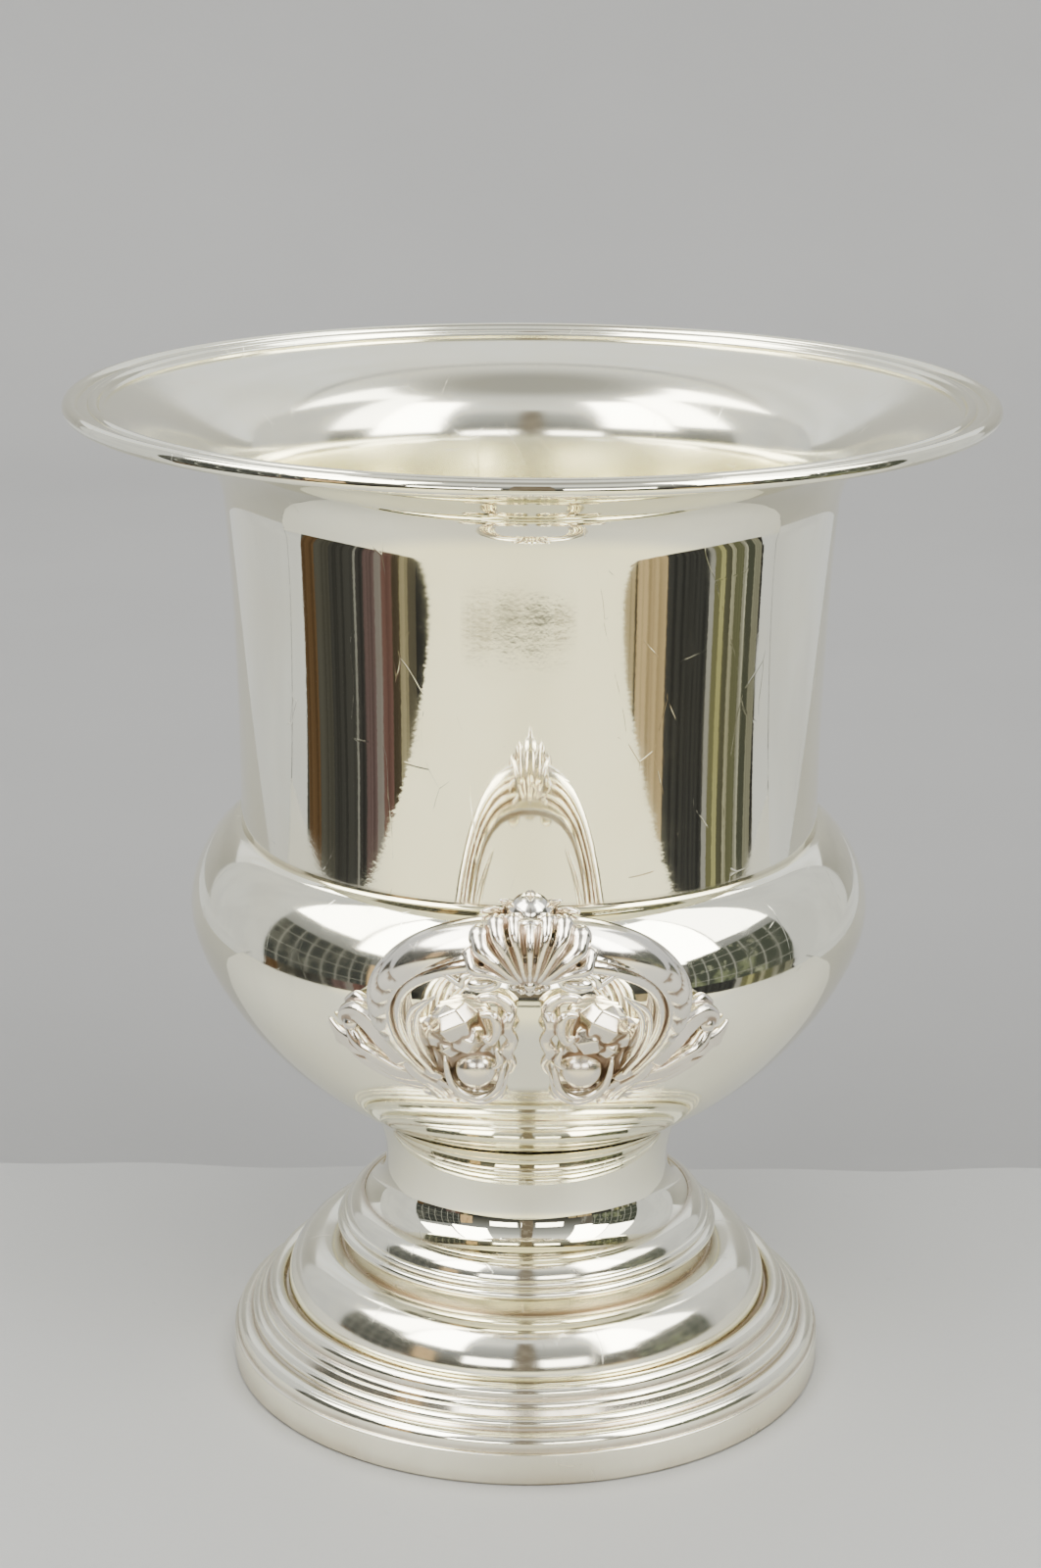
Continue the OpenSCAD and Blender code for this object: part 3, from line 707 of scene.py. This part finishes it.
def strand(path, wide, high, ups, sides=14, groove=0.0, round_ends=True):
    """Tapered band along a path: wide and high are half sizes, groove presses a line along its crest."""
    c = np.array(path, float)
    n = len(c)
    s = np.linspace(0, 1, n)
    w = np.interp(s, np.linspace(0, 1, len(wide)), wide)
    h = np.interp(s, np.linspace(0, 1, len(high)), high)
    if round_ends:
        cap = np.sqrt(np.clip(1 - (1 - np.clip(np.minimum(s, 1 - s) / 0.07, 0, 1)) ** 2, 0.03, 1))
        w, h = w * cap, h * cap
    t = np.gradient(c, axis=0)
    t /= np.linalg.norm(t, axis=1)[:, None] + 1e-9
    up = np.array(ups, float) * np.ones((n, 3))
    up = up - (up * t).sum(1)[:, None] * t
    up /= np.linalg.norm(up, axis=1)[:, None] + 1e-9
    b = np.cross(t, up)
    a = np.linspace(0, 2 * np.pi, sides, endpoint=False)
    ca, sa = np.cos(a), np.sin(a)
    dip = 1 - groove * np.exp(-((a - np.pi / 2) / 0.33) ** 2)
    ring = (c[:, None] + w[:, None, None] * b[:, None] * ca[None, :, None]
            + h[:, None, None] * up[:, None] * (sa * dip)[None, :, None])
    verts = np.vstack([ring.reshape(-1, 3), c[:1], c[-1:]])
    faces = ring_faces(n, sides)
    for j in range(sides):
        k = (j + 1) % sides
        faces.append((n * sides, k, j))
        faces.append((n * sides + 1, (n - 1) * sides + j, (n - 1) * sides + k))
    return verts, faces


def bowl_strand(p, wide, high, groove=0.0, n=26, sides=14):
    c = on_bowl(curve(p, n))
    ups = c * [1, 1, 0]
    ups /= np.linalg.norm(ups, axis=1)[:, None]
    ups[:, 2] = -0.25
    return strand(c, wide, high, ups, sides, groove)


def blob(at, radii, turn=0.0, cuts=(14, 10)):
    """Ellipsoid, turned about Y; few cuts leave it faceted."""
    u, v = cuts
    verts = [(0, 0, 1)]
    for i in range(1, v):
        p = math.pi * i / v
        verts += [(math.sin(p) * math.cos(2 * math.pi * j / u), math.sin(p) * math.sin(2 * math.pi * j / u),
                   math.cos(p))
                  for j in range(u)]
    verts.append((0, 0, -1))
    faces = [(0, 1 + j, 1 + (j + 1) % u) for j in range(u)]
    for i in range(v - 2):
        a, b = 1 + i * u, 1 + (i + 1) * u
        faces += [(a + j, b + j, b + (j + 1) % u, a + (j + 1) % u) for j in range(u)]
    last = len(verts) - 1
    faces += [(last, 1 + (v - 2) * u + (j + 1) % u, 1 + (v - 2) * u + j) for j in range(u)]
    m = np.array(verts) * radii
    c, s = math.cos(math.radians(turn)), math.sin(math.radians(turn))
    m = m @ np.array([[c, 0, s], [0, 1, 0], [-s, 0, c]]).T
    return m + np.array(at, float), faces


def merge(parts):
    verts, faces, base = [], [], 0
    for v, f in parts:
        verts.append(np.array(v, float))
        faces += [tuple(i + base for i in q) for q in f]
        base += len(v)
    return np.vstack(verts), faces


def edges_of(faces):
    e = set()
    for f in faces:
        for i in range(len(f)):
            a, b = f[i], f[(i + 1) % len(f)]
            e.add((min(a, b), max(a, b)))
    return np.array(sorted(e))


def relax(v, e, rounds, w=0.5):
    deg = np.bincount(e.ravel(), minlength=len(v)).astype(float)[:, None]
    deg[deg == 0] = 1
    v = v.copy()
    for _ in range(rounds):
        acc = np.stack([np.bincount(e[:, 0], v[e[:, 1], k], len(v))
                        + np.bincount(e[:, 1], v[e[:, 0], k], len(v))
                        for k in range(3)], -1)
        v += w * (acc / deg - v)
    return v


def out_of_bowl(v, depth=0.5):
    """Keeps cast metal from showing inside the bucket: what would go deeper stops within the wall."""
    r = np.hypot(v[:, 0], v[:, 1])
    low = np.where((v[:, 2] > joint_z) & (v[:, 2] < waist_z), bowl_at(v[:, 2]) - depth, 0)
    k = np.where(r < low, low / np.maximum(r, 1e-6), 1.0)
    return v * np.stack([k, k, np.ones_like(k)], -1)


def fuse(parts, voxel=0.3, smooth=2):
    """Melts overlapping shapes into one skin, as a casting has."""
    v, f = merge(parts)
    me = bpy.data.meshes.new("melt")
    me.from_pydata([tuple(p) for p in v], [], f)
    ob = add_object("melt", me)
    mod = ob.modifiers.new("melt", "REMESH")
    mod.mode = "VOXEL"
    mod.voxel_size = voxel
    dg = bpy.context.evaluated_depsgraph_get()
    ev = ob.evaluated_get(dg)
    out = ev.to_mesh()
    v = np.array([p.co[:] for p in out.vertices])
    f = [tuple(p.vertices) for p in out.polygons]
    ev.to_mesh_clear()
    bpy.data.objects.remove(ob)
    bpy.data.meshes.remove(me)
    return relax(v, edges_of(f), smooth, 0.5), f


def mark_hollows(me, scale, rounds):
    """Tarnish for the cast pieces: where the skin sinks below its surroundings."""
    v = points_of(me)
    e = np.empty(len(me.edges) * 2, int)
    me.edges.foreach_get("vertices", e)
    nrm = np.array([q.normal[:] for q in me.vertices])
    sunk = ((relax(v, e.reshape(-1, 2), rounds, 0.6) - v) * nrm).sum(1)
    write_hollow(me, np.clip(sunk / scale, 0, 1))


def cast_piece(name, geo, mat, node, scale=0.045, rounds=30, sharp=0):
    """Writes the front piece and its twin on the rear handle."""
    v, f = geo
    for where, k in (("front", 1), ("rear", -1)):
        ob = make(f"{where}_{name}", v * [k, k, 1] * MM, f, mat, [f"{where}_{node}"], sharp)
        mark_hollows(ob.data, scale, rounds)


def arch_geo():
    """Bar and arms in one sweep: a squared section that carries reeds and leaf lobes as relief."""
    n, m = 92, 120
    half = bez(half_line, n)
    c = np.vstack([half[:0:-1] * [-1, 1, 1], half])
    along = np.abs(np.linspace(-1, 1, 2 * n + 1))
    t = np.gradient(c, axis=0)
    t /= np.linalg.norm(t, axis=1)[:, None]
    up = arch_up - (t @ arch_up)[:, None] * t
    up /= np.linalg.norm(up, axis=1)[:, None]
    b = np.cross(t, up)
    k = np.sin(np.pi / 2 * np.clip(along / 0.45, 0, 1)) ** 2
    slim = 1 - 0.42 * np.clip((along - 0.66) / 0.22, 0, 1)
    w = ((bar_w + (arm_w - bar_w) * k) / 2 - 0.55) * slim
    h = ((bar_t + (arm_t - bar_t) * k) / 2 - 0.55) * slim
    ph = np.linspace(-180, 180, m, endpoint=False)
    P, K = np.meshgrid(ph, k)
    A = np.meshgrid(ph, along)[1]

    def lump(at, size):
        return np.exp(-(((P - at + 180) % 360 - 180) / size) ** 2)

    d = 0.40 * lump(-44 - 46 * K, 3.2) - 0.7 * lump(-52 - 47 * K, 4.5)
    d += (1.0 - 0.35 * K) * lump(-73 - 46 * K, 12) - 0.5 * lump(-94 - 40 * K, 5)
    d += 0.42 * (lump(98, 6) + lump(122, 6)) - 0.5 * (lump(87, 4) + lump(110, 4) + lump(134, 4))
    d += 0.4 * lump(154, 9)
    # soft overlapping leaf lobes on the outside of each shoulder
    env = np.exp(-((A - 0.50) / 0.18) ** 4) * np.exp(-((P + 22) / 44) ** 4)
    for i in range(5):
        line = 0.33 + 0.078 * i - 0.07 * ((P + 50) / 50) ** 2
        d -= 0.80 * env * np.exp(-((A - line) / 0.0100) ** 2)
        d += 0.55 * env * np.exp(-((A - line + 0.030) / 0.022) ** 2)
    a = np.radians(P)
    square = 2.3
    super_r = (np.abs(np.cos(a)) ** square + np.abs(np.sin(a)) ** square) ** (-1 / square)
    ring = (c[:, None] + ((w[:, None] * super_r + d) * np.cos(a))[..., None] * b[:, None]
            + ((h[:, None] * super_r + d) * np.sin(a))[..., None] * up[:, None])
    verts = ring.reshape(-1, 3)
    faces = [(p, s, r, q) for p, q, r, s in ring_faces(2 * n + 1, m)]
    faces.append(tuple(range(m)))
    faces.append(tuple(2 * n * m + j for j in reversed(range(m))))
    verts = out_of_bowl(verts)
    parts = [(verts, faces)]
    for s in (-1, 1):
        # the lower reed ends in an oval volute beside the shell
        at = np.array([s * 10.6, -bar_y - 3.9, bar_z - 7.7])
        parts.append(blob(at, (3.1, 1.9, 1.5), s * 6, (28, 16)))
        a = np.radians(np.linspace(200, -150, 40))
        grow = np.linspace(1.0, 0.78, 40)
        spiral = np.stack([at[0] - s * 4.4 * grow * np.cos(a), at[1] + 0.7 + 0 * a,
                           at[2] + 2.3 * grow * np.sin(a)], -1)
        tail = curve([[s * 25, -bar_y + 2.6, bar_z - 9.0], [s * 19.5, -bar_y - 1.6, bar_z - 6.2], spiral[0]],
                     20)
        parts.append(strand(np.vstack([tail[:-1], spiral]), (0.5, 0.95, 0.9, 0.8, 0.6),
                            (0.6, 1.0, 0.95, 0.85, 0.6),
                            (0, -1, 0.2), 14))
        # reeds and a small curl on the inside of the arm
        for off, r in ((0.0, 0.8), (1.7, 0.65)):
            p = [[s * (20.5 + off), -bar_y + 3.5, bar_z - 13.5 - off * 0.5],
                 [s * (24.6 + off), -bar_y + 11, bar_z - 20],
                 [s * (25.4 + off), -bar_y + 21, bar_z - 29], [s * (23.4 + off), -bar_y + 30, bar_z - 38.5]]
            parts.append(strand(curve(p, 36), (0.3, r, r, r, 0.4), (0.3, r, r, r, 0.4), (-s, -0.6, 0), 12))
    return merge(parts)


def shell_geo():
    """Fan of rounded ribs that spread from a drop at the foot and roll back over the bar at the top."""
    foot = np.array([0, -bar_y - 6.6, bar_z - 7.3])
    tips = ((0, 5.6, 1.15), (3.5, 7.2, 1.35), (7.1, 6.4, 1.75), (10.4, 3.4, 2.3), (12.2, -0.9, 1.8))
    parts = []
    for s in (-1, 1):
        for i, (x, z, w) in enumerate(tips):
            if i == 0 and s > 0:
                continue
            x *= s
            low = foot + [0.42 * i * s, 0.12 * i, 0.2]
            top = bar_z + z
            path = curve([low, [x * 0.36, foot[1] - 1.3 + 0.1 * i, bar_z - 5.8 + 0.18 * z],
                          [x * 0.70, foot[1] - 2.2 + 0.25 * i, bar_z - 3.6 + 0.60 * z],
                          [x * 0.96, foot[1] - 1.6 + 0.3 * i, top - 2.4],
                          [x * 1.02, foot[1] + 1.2 + 0.3 * i, top], [x * 0.96, foot[1] + 3.8, top - 1.2]],
                         60)
            lean = np.array([0.35 * s * i / 5, -1, 0.25])
            parts.append(strand(path, (0.42, w * 0.42, w * 0.72, w * 1.0, w * 1.06, w * 0.7),
                                (0.7, 1.3, w * 1.1, w * 1.3, w * 1.2, w * 0.7), lean, 16))
            if i:
                parts.append(blob(path[-16], (w * 1.22, w * 1.2, w * 1.35), s * 4 * i, (20, 14)))
        # web behind the ribs
        parts.append(strand(curve([foot + [0.5 * s, 2.2, 0.6], [s * 2.2, -bar_y - 5.4, bar_z - 2.5],
                                   [s * 5.2, -bar_y - 4.8, bar_z + 2.6]], 24),
                            (0.8, 2.6, 6.0), (0.7, 0.9, 1.8), (0, -1, 0.2), 18))
        # flutes that cup the bead
        parts.append(strand(curve([[s * 1.2, foot[1] - 1.4, bar_z + 0.4],
                                   [s * 3.6, foot[1] - 0.6, bar_z + 5.0],
                                   [s * 5.3, foot[1] + 2.4, bar_z + 7.9]], 24), (0.5, 0.9, 0.9),
                            (0.6, 1.1, 1.0), (0, -1, 0.3), 14))
    # seat between the fan and the bead
    parts.append(blob([0, -bar_y - 5.6, bar_z + 2.4], (4.4, 2.8, 4.2), 0, (20, 14)))
    # drop and scalloped lip at the foot of the fan
    parts.append(blob(foot + [0, -1.1, 0.5], (1.35, 1.25, 1.4), 0, (20, 14)))
    for i in range(-2, 3):
        parts.append(blob(foot + [i * 1.75, 0.35 + 0.35 * abs(i), -1.5 + 0.22 * i * i], (1.05, 1.4, 0.9), 0,
                          (16, 10)))
    return fuse(parts, 0.25, 1)


def pearl_geo():
    """Bead with shallow gadroons on its lower half, in a thin ring."""
    at = np.array([0, -bar_y - 1.2, bar_z + bar_w * 0.34 + pearl_r * 0.6])
    v, f = blob(at, (pearl_r, pearl_r, pearl_r), 0, (72, 48))
    d = v - at
    tilt = np.array([0, -0.5, -0.87])
    low = (d @ tilt) / pearl_r
    ang = np.arctan2(d[:, 0], d[:, 1] * 0.87 - d[:, 2] * 0.5)
    v = at + d * (1 - 0.035 * np.clip(low, 0, 1) * (1 - np.cos(8 * ang)))[:, None]
    ring = [at + tilt * pearl_r * 0.62 + 3.7 * (math.cos(q) * np.array([1, 0, 0])
                                                + math.sin(q) * np.array([0, 0.87, -0.5]))
            for q in np.linspace(0, 2 * math.pi, 60)]
    return merge([(v, f), strand(ring, (0.75,), (0.75,), tilt, 12, 0, False)])


def back_leaf_geo():
    """Pointed leaf with scrolled side lobes over the body side of the bar."""
    n, o = arch_up, arch_out
    mid = np.array([0, -bar_y, bar_z])

    def at(x, up, off):
        return mid + np.array([x, 0, 0]) + o * up + n * off

    def lobe(p, wide, high, groove=0.35):
        return strand(curve([at(*q) for q in p], 34), wide, high, n, 18, groove)

    parts = [lobe([(0, -6, 6.2), (0, 0, 8.2), (0, 7, 7.2), (0, 13.5, 5.4)], (1.6, 2.6, 2.5, 1.6, 0.5),
                  (1.3, 1.6, 1.4, 1.0, 0.4)),
             strand([at(0, u, f) for u, f in ((-6, 5.4), (0, 6.8), (6, 5.4), (9, 3.6))], (4, 6, 4.5, 2),
                    (1.0, 1.2, 1.2, 0.8), n, 18, 0)]
    for s in (-1, 1):
        parts.append(lobe([(s * 1.5, -5, 6.6), (s * 3.4, 0, 8.0), (s * 4.8, 5.5, 6.8), (s * 6.8, 9.6, 5.2)],
                          (1.3, 2.1, 1.9, 1.2, 0.4), (1.1, 1.4, 1.2, 0.9, 0.4)))
        parts.append(lobe([(s * 2.5, -5.5, 6.4), (s * 6, -1.5, 7.8), (s * 8.6, 2.8, 6.6),
                           (s * 11.0, 4.6, 5.2)],
                          (1.2, 1.9, 1.7, 1.1, 0.4), (1.0, 1.3, 1.2, 0.9, 0.4)))
        # scroll that opens towards the arm
        a = np.radians(np.linspace(-100, 190, 30))
        curl = [at(s * (9.2 - 3.0 * g * math.cos(q)), -3.4 + 2.6 * g * math.sin(q), 6.6)
                for q, g in zip(a, np.linspace(1.15, 0.55, 30))]
        parts.append(strand(curl, (0.7, 0.95, 0.8), (0.8, 1.1, 0.9), n, 12, 0))
    return fuse(parts, 0.3, 2)


def foot_leaf_geo(s):
    """Cupped, ruffled leaf at the root of an arm, with the ribbed sprig beside it."""
    parts = []

    def wider(p):
        return [(s * (3.6 + (x - 3.6) * 1.20), z, h) for x, z, h in p]

    def band(p, w, h, g=0.0):
        parts.append(bowl_strand(wider(p), [1.22 * v for v in w], [1.15 * v for v in h], g))

    def ball(x, z, h, r, turn=0, cuts=(16, 12)):
        at = on_bowl(wider([(x, z, h)]))[0]
        parts.append(blob(at, [1.22 * r[0], 1.1 * r[1], 1.12 * r[2]], s * turn, cuts))

    band([(13.5, 131, 1.4), (13, 122, 2.0), (12, 112, 1.5), (11, 104.5, 0.4)], (5.2, 6.6, 6.2, 4.4),
         (2.6, 3.0, 2.2, 0.7))
    band([(20.5, 125, 2.2), (20.2, 118, 2.6), (19.2, 111, 2.2), (17.8, 105, 1.0)], (3.0, 3.8, 3.6, 2.2),
         (2.2, 2.6, 2.2, 1.0))
    # rough, faceted boss under the bar
    ball(14.0, 127.6, 5.6, (5.2, 4.2, 4.4), 24, (6, 4))
    ball(11.6, 124.6, 5.4, (3.6, 3.4, 3.8), -18, (5, 4))
    ball(17.6, 125.2, 4.6, (3.2, 3.2, 3.6), -10, (6, 5))
    ball(15.0, 122.6, 4.8, (3.0, 2.8, 3.2), 35, (6, 4))
    # egg in its double rim
    ball(10.4, 116.6, 4.4, (4.1, 3.4, 4.5), 8, (28, 18))
    band([(16.2, 119.5, 5.0), (14.9, 112.9, 6.3), (10.5, 110.2, 7.0), (6.6, 112.3, 6.2), (5.2, 117.8, 4.6)],
         (0.5, 0.85, 0.85, 0.8, 0.5), (0.5, 0.9, 0.9, 0.8, 0.5))
    band([(16.6, 116.4, 4.2), (15.0, 110.6, 5.2), (10.5, 107.9, 6.0), (6.2, 110.0, 5.2), (4.7, 115.0, 3.8)],
         (0.5, 0.75, 0.75, 0.7, 0.5), (0.5, 0.8, 0.8, 0.7, 0.5))
    # rolled, ruffled edge on the inner side
    edge = [(10.5, 132.2, 5.4), (6.4, 132.6, 5.6), (3.9, 130.2, 5.0), (4.6, 127.2, 5.8), (3.5, 124.2, 4.6),
            (4.6, 121.4, 5.2),
            (3.7, 117.8, 3.8), (4.9, 113.5, 3.0)]
    band(edge, (0.8, 1.3, 1.4, 1.2, 1.3, 1.1, 0.7), (0.9, 1.3, 1.4, 1.2, 1.3, 1.0, 0.7), 0.2)
    band([(9.4, 129.4, 6.6), (6.8, 129.6, 7.2), (6.2, 126.6, 6.8), (7.4, 124.4, 6.6), (8.6, 125.8, 7.0)],
         (0.6, 1.0, 1.0, 0.9, 0.6), (0.7, 1.1, 1.1, 1.0, 0.7))
    band([(6.6, 123.0, 6.0), (5.8, 120.0, 6.2), (7.2, 118.4, 7.0)], (0.5, 0.8, 0.5), (0.6, 0.9, 0.6))
    # lower leaf with a scalloped foot
    for x1, z1 in ((15.6, 105.2), (13.4, 103.7), (10.9, 102.9), (8.4, 103.3), (6.1, 104.9)):
        band([(10.8 + (x1 - 10.8) * 0.45, 110.0, 4.4), (10.8 + (x1 - 10.8) * 0.8, 106.8, 3.2),
              (x1, z1, 0.9)], (1.0, 1.35, 1.15), (0.9, 1.2, 0.8), 0.25)
        ball(x1, z1 + 0.1, 0.9, (1.15, 1.0, 0.9), 0, (14, 10))
    # leaf edge and curl towards the arm
    band([(18.8, 126, 5.2), (20.6, 121.5, 5.4), (19.6, 116.5, 5.6), (17.0, 113.4, 5.2)],
         (0.9, 1.5, 1.5, 0.9), (1.0, 1.5, 1.4, 0.9), 0.3)
    band([(21.4, 129.0, 6.2), (23.6, 125.8, 6.6), (22.6, 122.6, 6.6), (20.6, 123.2, 6.8),
          (21.0, 125.4, 7.2)], (0.7, 1.2, 1.1, 0.9, 0.6), (0.8, 1.3, 1.2, 1.0, 0.7))
    # ribbed sprig: four ribs that sway down and splay at the foot
    for i in range(4):
        k = i - 1.5
        sway = [(24.6 + k * 0.75, 119.6 - k * 0.5, 5.0),
                (22.2 + k * 0.95, 114.8 - k * 0.3, 5.6 - 0.35 * k * k),
                (18.9 + k * 1.15, 110.8 - k * 0.2, 5.0 - 0.35 * k * k),
                (18.2 + k * 1.3, 106.6, 3.4 - 0.3 * k * k),
                (19.2 + k * 1.75, 102.9 + 0.35 * k * k, 1.1)]
        band(sway, (0.55, 0.8, 0.85, 0.85, 1.05), (0.7, 1.0, 1.0, 0.9, 0.9))
        ball(19.2 + k * 1.75, 102.7 + 0.35 * k * k, 1.0, (1.05, 0.9, 0.95), 0, (14, 10))
    v, f = fuse(parts, 0.28, 2)
    return out_of_bowl(v), f


def side_leaf_geo(s):
    """Leaf that splashes sideways over the bowl: a curled upper lobe, a twisted ribbon and long strands."""
    parts = []

    def place(x, z, h):
        return s * (24 + (x - 24) * 1.17), 110 + (z - 110) * 0.98, h * 1.25

    def band(p, w, h, g=0.0):
        parts.append(bowl_strand([place(*q) for q in p], [1.38 * v for v in w], [1.45 * v for v in h], g))

    def ball(x, z, h, r, turn=0):
        parts.append(blob(on_bowl([place(x, z, h)])[0], [1.35 * v for v in r], s * turn, (16, 12)))

    band([(23, 112, 0.8), (30, 115, 1.2), (36, 118.4, 1.0), (42.5, 120.6, 0.5)], (4.6, 5.2, 3.8, 0.8),
         (1.1, 1.3, 1.1, 0.5))
    band([(27.5, 116.5, 4.2), (30.6, 123.4, 4.8), (35.4, 127.6, 4.4), (39.0, 126.4, 3.8),
          (38.4, 123.8, 3.8)], (1.4, 2.2, 2.0, 1.4, 0.8), (1.3, 1.8, 1.7, 1.3, 0.8), 0.35)
    ball(37.6, 125.0, 4.2, (1.5, 1.4, 1.5))
    band([(33.0, 128.4, 3.4), (36.8, 130.2, 3.0), (39.8, 128.2, 2.4)], (0.6, 1.0, 0.5), (0.7, 0.9, 0.5))
    for k in (0, 1):
        band([(40.2 - k * 1.6, 124.6 - k * 1.4, 2.4), (37.4 - k * 1.2, 120.4, 3.8),
              (33.4, 118.6 - k * 1.5, 4.6), (29.4, 115.4 - k * 1.4, 4.4), (25.6, 113.0 - k * 1.2, 3.4)],
             (0.6, 1.0, 1.15, 1.0, 0.7), (0.7, 1.1, 1.3, 1.1, 0.7), 0.15)
    band([(33, 116.6, 2.4), (38, 118.6, 3.0), (42.2, 119.6, 2.0), (45.2, 122.4, 0.9)], (1.5, 2.1, 1.3, 0.4),
         (1.1, 1.3, 0.9, 0.4), 0.4)
    band([(42.6, 119.2, 1.4), (43.2, 116.8, 1.2), (41.0, 115.6, 1.2)], (0.8, 1.0, 0.5), (0.7, 0.8, 0.4), 0.2)
    lines = (((42.6, 118.0, 1.5), (37.4, 114.8, 2.7), (31.0, 112.0, 3.4), (24.0, 108.8, 2.6), 1.15),
             ((40.0, 114.9, 1.2), (34.0, 111.8, 2.2), (28.2, 109.2, 2.6), (22.6, 106.8, 1.8), 1.0),
             ((37.2, 112.2, 0.9), (32.0, 109.6, 1.6), (26.8, 107.4, 1.8), (22.0, 105.4, 1.2), 0.9),
             ((33.8, 109.6, 0.7), (30.2, 107.6, 1.1), (26.2, 105.9, 1.2), (22.4, 104.4, 0.9), 0.75))
    for a, b, c, d, r in lines:
        band([a, b, c, d], (r * 0.5, r, r, r * 0.7), (r * 0.5, r * 0.95, r, r * 0.6), 0.25)
        ball(a[0] + 0.2, a[1], a[2] * 0.8, (r * 1.05, r * 0.8, r * 0.9))
    for x, z in ((31.2, 106.6), (28.4, 105.2), (25.8, 104.0)):
        ball(x, z, 0.7, (1.1, 0.8, 0.9))
    v, f = fuse(parts, 0.28, 2)
    return out_of_bowl(v), f


def handles():
    cast_piece("arch", arch_geo(), metal_arch, "loop", sharp=50)
    cast_piece("fan_shell", shell_geo(), metal_cast, "shell")
    cast_piece("bead", pearl_geo(), metal_arch, "pearl")
    cast_piece("acanthus", back_leaf_geo(), metal_cast, "back_leaf")
    for s, word in ((-1, "left"), (1, "right")):
        cast_piece(f"root_leaf_{word}", foot_leaf_geo(s), metal_cast, f"foot_leaf_{word}")
        cast_piece(f"splash_leaf_{word}", side_leaf_geo(s), metal_cast, f"side_leaf_{word}")


handles()
